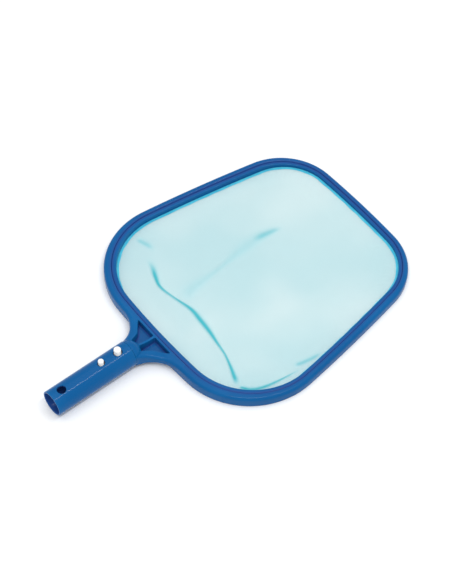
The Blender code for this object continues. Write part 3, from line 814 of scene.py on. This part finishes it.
class Value:
    """One output socket of a material's nodes. Arithmetic on it adds Math nodes."""

    def __init__(self, look, socket):
        self.look = look
        self.socket = socket

    def maths(self, operation, *values, clamp=False):
        """A Math node with these inputs, of which this value is one where it is given."""
        return self.look.node(
            "ShaderNodeMath",
            {"operation": operation, "use_clamp": clamp},
            dict(enumerate(values)),
        )

    def __add__(self, other):
        return self.maths("ADD", self, other)

    def __sub__(self, other):
        return self.maths("SUBTRACT", self, other)

    def __mul__(self, other):
        return self.maths("MULTIPLY", self, other)

    __radd__ = __add__
    __rmul__ = __mul__

    def clamp(self):
        return self.maths("ADD", self, 0.0, clamp=True)

    def between(self, start, end, low=0.0, high=1.0):
        """low below start, high above end, and a smooth step between."""
        return self.look.node(
            "ShaderNodeMapRange",
            {"interpolation_type": "SMOOTHSTEP"},
            {0: self, 1: start, 2: end, 3: low, 4: high},
        )


class Look:
    """A material that is wired one node at a time."""

    def __init__(self, name):
        self.material = bpy.data.materials.new(name)
        self.material.use_nodes = True
        self.tree = self.material.node_tree
        self.shader = self.tree.nodes["Principled BSDF"]

    def node(self, kind, settings, inputs, output=0):
        """Adds a node: its settings first, then its inputs as values or links."""
        made = self.tree.nodes.new(kind)
        for key, value in settings.items():
            setattr(made, key, value)
        for key, value in inputs.items():
            self.feed(made.inputs[key], value)
        return Value(self, made.outputs[output])

    def feed(self, socket, value):
        if isinstance(value, Value):
            self.tree.links.new(value.socket, socket)
        else:
            socket.default_value = value

    def set(self, **inputs):
        """Sets or links the shader's sockets, named with _ for spaces."""
        for key, value in inputs.items():
            self.feed(self.shader.inputs[key.replace("_", " ")], value)

    def place(self, scale=(1.0, 1.0, 1.0)):
        """Object coordinates, stretched by a scale for each axis."""
        here = self.node("ShaderNodeTexCoord", {}, {}, "Object")
        return self.node("ShaderNodeMapping", {}, {"Vector": here, "Scale": scale})

    def noise(self, vector, scale, detail=3.0, roughness=0.5, warp=0.0):
        return self.node(
            "ShaderNodeTexNoise",
            {},
            {"Vector": vector, "Scale": scale, "Detail": detail, "Roughness": roughness,
             "Distortion": warp},
        )

    def sine(self, angle):
        return angle.maths("SINE", angle)

    def mix(self, factor, first, second):
        """From the first colour at 0 to the second at 1."""
        return self.node("ShaderNodeMix", {"data_type": "RGBA"}, {0: factor, 6: first, 7: second}, 2)

    def attribute(self, name):
        return self.node("ShaderNodeAttribute", {"attribute_name": name}, {}, "Fac")

    def bump(self, height, distance, strength=1.0):
        return self.node(
            "ShaderNodeBump", {}, {"Height": height, "Distance": distance, "Strength": strength}
        )


def colour(red, green, blue):
    return (red, green, blue, 1.0)


def moulded_blue(name, drift, gloss):
    """Glossy blue moulded plastic: two close blues in slow clouds, painted shade in the groove, the
    pockets and the bore, a fine orange-peel skin, small scuffs, and paler rubbed edges."""
    look = Look(name)
    here = look.place()
    shift = (drift, drift, 0.0)
    shifted = look.node("ShaderNodeVectorMath", {"operation": "ADD"}, {0: here, 1: shift})
    clouds = look.noise(shifted, 9.0, 4.0, 0.55, 0.6).between(0.35, 0.68)
    deep, bright = colour(0.0016, 0.088, 0.266), colour(0.0030, 0.106, 0.304)
    base = look.mix(clouds, deep, bright)
    # Painted shade: where the hollow value is high, the blue turns a deep purple-blue.
    hollow = look.attribute("hollow")
    base = look.mix(hollow * 0.80, base, colour(0.0230, 0.060, 0.250))
    streaks = look.noise(look.place((22.0, 160.0, 160.0)), 1.0, 5.0, 0.62).between(0.60, 0.78)
    rubbed = look.noise(shifted, 210.0, 4.0, 0.7).between(0.42, 0.70)
    edge = (look.attribute("edge").between(0.10, 0.75) * (0.35 + 0.65 * rubbed)).clamp()
    base = look.mix(edge * 0.30, base, colour(0.020, 0.190, 0.440))
    scuffs = look.noise(look.place((300.0, 900.0, 900.0)), 1.0, 2.0, 0.5).between(0.66, 0.80)
    base = look.mix(scuffs * streaks * 0.22, base, colour(0.030, 0.190, 0.410))
    skin = look.noise(here, 1400.0, 2.0, 0.5)
    ripple = look.noise(here, 160.0, 2.0, 0.5)
    height = skin * 0.35 + ripple * 0.65 + scuffs * streaks * 0.5
    look.set(
        Base_Color=base,
        Roughness=(gloss + 0.06 * clouds + 0.16 * scuffs * streaks + 0.06 * edge).clamp(),
        Normal=look.bump(height, 0.00006, 0.6),
        IOR=1.49,
        Specular_IOR_Level=0.12,
    )
    return look.material


def woven_net(name):
    """Fine woven net: round threads both ways, see-through holes, deeper teal where it gathers."""
    look = Look(name)
    flat = look.node("ShaderNodeUVMap", {"uv_map": "flat"}, {}, "UV")
    scaled = look.node("ShaderNodeVectorMath", {"operation": "SCALE"}, {0: flat, "Scale": HEAD_LENGTH})
    slow = look.noise(scaled, 90.0, 2.0)
    split = look.node("ShaderNodeSeparateXYZ", {}, {0: scaled}, "X")
    split_y = Value(look, split.socket.node.outputs["Y"])
    turns = 2 * math.pi / THREAD_PITCH
    warp = look.sine((split + slow * THREAD_WANDER) * turns)
    weft = look.sine((split_y - slow * THREAD_WANDER) * turns)
    warp_thread = warp.between(-0.15, 0.75)
    weft_thread = weft.between(-0.15, 0.75)
    thread = warp_thread.maths("MAXIMUM", warp_thread, weft_thread)
    gather = look.attribute("gather")
    cloud = look.noise(scaled, 6.5, 2.0, 0.45, 0.3).between(0.30, 0.70)
    fibre = look.noise(scaled, 1900.0, 2.0, 0.6)
    pale = look.mix(cloud, colour(0.490, 0.715, 0.745), colour(0.610, 0.765, 0.775))
    pale = look.mix(fibre * 0.15, pale, colour(0.760, 0.890, 0.890))
    tinted = look.mix((gather * 1.1).clamp(), pale, colour(0.050, 0.420, 0.480))
    solid = (0.58 + 0.36 * thread + 0.04 * cloud + gather * 0.6).clamp()
    look.set(
        Base_Color=tinted,
        Alpha=solid,
        Roughness=(0.72 + 0.14 * fibre).clamp(),
        Normal=look.bump(warp * 0.5 + weft * 0.5 + fibre * 0.3, 0.00012, 0.5),
        Specular_IOR_Level=0.25,
        Sheen_Weight=0.25,
    )
    look.material.use_backface_culling = False
    return look.material


def woven_tape(name):
    """Bright cyan binding tape: a close twill whose ribs run slantwise along it."""
    look = Look(name)
    flat = look.node("ShaderNodeUVMap", {"uv_map": "flat"}, {}, "UV")
    along = look.node("ShaderNodeSeparateXYZ", {}, {0: flat}, "X")
    across = Value(look, along.socket.node.outputs["Y"])
    turns = 2 * math.pi / TAPE_RIB
    rib = look.sine((along + across) * turns)
    stitch = look.sine(across * (2 * math.pi / TAPE_STITCH))
    fibre = look.noise(flat, 2600.0, 2.0, 0.6)
    faded = look.noise(flat, 40.0, 3.0).between(0.35, 0.70)
    base = look.mix(faded, colour(0.012, 0.480, 0.700), colour(0.060, 0.620, 0.800))
    base = look.mix(rib.between(-0.9, 0.3, 0.35, 0.0), base, colour(0.004, 0.330, 0.540))
    base = look.mix(fibre * 0.25, base, colour(0.220, 0.740, 0.850))
    look.set(
        Base_Color=base,
        Roughness=(0.66 + 0.2 * fibre).clamp(),
        Normal=look.bump(rib * 0.6 + stitch * 0.2 + fibre * 0.3, 0.00012, 0.7),
        Sheen_Weight=0.2,
    )
    return look.material


def pin_nylon(name):
    """White nylon: faintly warm clouds, tiny specks and a polished crown."""
    look = Look(name)
    here = look.place()
    cloud = look.noise(here, 120.0, 3.0, 0.6).between(0.35, 0.70)
    speck = look.noise(here, 1500.0, 2.0, 0.5).between(0.70, 0.80)
    edge = look.attribute("edge").between(0.15, 0.8)
    base = look.mix(cloud, colour(0.86, 0.84, 0.79), colour(0.93, 0.92, 0.88))
    base = look.mix(speck * 0.35, base, colour(0.60, 0.57, 0.50))
    look.set(
        Base_Color=base,
        Roughness=(0.30 + 0.14 * cloud - 0.06 * edge).clamp(),
        Normal=look.bump(look.noise(here, 700.0, 2.0), 0.00005, 0.4),
        IOR=1.53,
    )
    return look.material


def spring_steel(name):
    """Rolled stainless strip: fine lines along its length, dull patches and a warm tint here and
    there."""
    look = Look(name)
    lines = look.noise(look.place((60.0, 5200.0, 5200.0)), 1.0, 3.0, 0.6)
    dull = look.noise(look.place(), 130.0, 4.0, 0.6).between(0.45, 0.70)
    base = look.mix(dull, colour(0.34, 0.34, 0.36), colour(0.24, 0.22, 0.20))
    look.set(
        Base_Color=base,
        Metallic=1.0,
        Roughness=(0.22 + 0.14 * lines + 0.16 * dull).clamp(),
        Normal=look.bump(lines, 0.00003, 0.4),
    )
    return look.material


def studio_floor(name):
    """Pale matt floor with the faintest mottling."""
    look = Look(name)
    cloud = look.noise(look.place(), 2.0, 2.0)
    look.set(
        Base_Color=look.mix(cloud, colour(0.90, 0.90, 0.90), colour(0.92, 0.92, 0.92)),
        Roughness=0.9,
        Specular_IOR_Level=0.1,
    )
    return look.material


# Assembly

def build_head():
    """The rim with room for the pockets cut in it, the neck, the spigot and the clamping ring."""
    pockets = [
        prism(f"pocket_{sign}", pocket_outline(sign, POCKET_GROW), POCKET_FLOOR - CUTTER_START, 0.05)
        for sign in (1, -1)
    ]
    rim = cut(sweep("rim_moulding", 620, rim_section), pockets)
    blue = moulded_blue("rim_blue", 0.0, 0.12)
    piece("rim_moulding", rim, "head", blue, ["frame"], hollow=rim_painted_shade)
    piece("neck_web", neck_web(), "head", blue, ["frame"], hollow=web_painted_shade)
    piece("spigot_core", spigot_core(), "head", blue, ["frame"])
    ring = sweep("press_ring", 560, ring_section)
    ring_blue = moulded_blue("ring_blue", 0.37, 0.13)
    piece("press_ring", ring, "head", ring_blue, ["clamp_ring"], hollow=rim_painted_shade)


def build_net():
    """The net and the tape that binds its edge. The net's flat area is the sum over its grid of
    half the cross product of each square's diagonals."""
    across = np.concatenate([np.linspace(0, TAPE_FLAT, 12), np.linspace(TAPE_FLAT, 0, 12)])
    tape_mesh = sweep("edge_binding", 640, tape_section, across)
    twill = woven_tape("binding_twill")
    tape = piece("edge_binding", tape_mesh, "head", twill, ["binding_tape"])
    mesh, flat = net_sheet()
    mesh.materials.append(woven_net("net_weave"))
    mesh.shade_smooth()
    net = bpy.data.objects.new("net_sheet", mesh)
    bpy.context.scene.collection.objects.link(net)
    thick = net.modifiers.new("Thickness", "SOLIDIFY")
    thick.thickness = NET_THICK
    thick.offset = 0.0
    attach(net, "head")
    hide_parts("net")
    count = int(math.sqrt(len(flat)))
    rows = flat.reshape(count, count, 2)
    first, second = rows[1:, 1:] - rows[:-1, :-1], rows[1:, :-1] - rows[:-1, 1:]
    area = abs(first[..., 0] * second[..., 1] - first[..., 1] * second[..., 0]).sum() / 2


def build_handle():
    """The socket tube, the two pins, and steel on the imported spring's own nodes."""
    tube = socket_tube()
    blue = moulded_blue("socket_blue", 0.71, 0.11)
    piece("socket_tube", tube, "head", blue, ["handle_socket"], 30.0, bore_painted_shade)
    white = pin_nylon("pin_white")
    for node in PINS:
        piece(node + "_turned", pin_mesh(node), "clip", white, [node])
    steel = spring_steel("spring_steel")
    for node in ("spring_leg", "spring_arm"):
        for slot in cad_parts[node].material_slots:
            slot.material = steel


# Studio

FLOOR_HALF = 6.0
FLOOR_DROP = 0.0003
SKY_STRENGTH = 0.84
LENS_MM = 123.29
CAMERA_PLACE = (-0.92394, -1.17566, 2.15052)
CAMERA_TILT = math.radians(35.204)
CAMERA_HEADING = math.radians(-38.836)


def area_light(name, place, target, size, power):
    """A white rectangular light turned from its place towards the target."""
    light = bpy.data.lights.new(name, "AREA")
    light.shape = "RECTANGLE"
    light.size, light.size_y = size
    light.energy = power
    lamp = bpy.data.objects.new(name, light)
    bpy.context.scene.collection.objects.link(lamp)
    lamp.location = place
    aim = np.array(target) - np.array(place)
    heading = math.atan2(aim[1], aim[0]) - math.pi / 2
    lamp.rotation_euler = (math.acos(-aim[2] / np.linalg.norm(aim)), 0.0, heading)


def build_studio():
    """A pale floor, a long strip light parallel to the tube, a broad overhead light and the sky."""
    mesh = bpy.data.meshes.new("studio_floor")
    half = FLOOR_HALF
    corners = [(-half, -half, 0), (half, -half, 0), (half, half, 0), (-half, half, 0)]
    mesh.from_pydata(corners, [], [(0, 1, 2, 3)])
    mesh.materials.append(studio_floor("floor_white"))
    floor = bpy.data.objects.new("studio_floor", mesh)
    floor.location.z = -FLOOR_DROP
    bpy.context.scene.collection.objects.link(floor)
    area_light("strip", (-0.2, -0.62, 2.1), (-0.2, 0.0, 0.0), (2.2, 0.05), 17.0)
    area_light("overhead", (0.2, 0.1, 2.6), (0.0, 0.0, 0.0), (2.6, 2.6), 16.0)
    world = bpy.data.worlds.new("studio")
    world.use_nodes = True
    background = world.node_tree.nodes["Background"]
    background.inputs["Color"].default_value = colour(0.96, 0.98, 1.0)
    background.inputs["Strength"].default_value = SKY_STRENGTH
    bpy.context.scene.world = world
    bpy.context.scene.view_settings.view_transform = "Standard"


def build_camera():
    """The camera, looking down at the net from beyond the handle's side."""
    data = bpy.data.cameras.new("camera")
    data.lens = LENS_MM
    data.sensor_width = 36.0
    data.clip_end = 100.0
    camera = bpy.data.objects.new("camera", data)
    camera.location = CAMERA_PLACE
    camera.rotation_euler = (CAMERA_TILT, 0.0, CAMERA_HEADING)
    bpy.context.scene.collection.objects.link(camera)
    bpy.context.scene.camera = camera


build_camera()
build_studio()
build_head()
build_net()
build_handle()

bpy.context.view_layer.update()
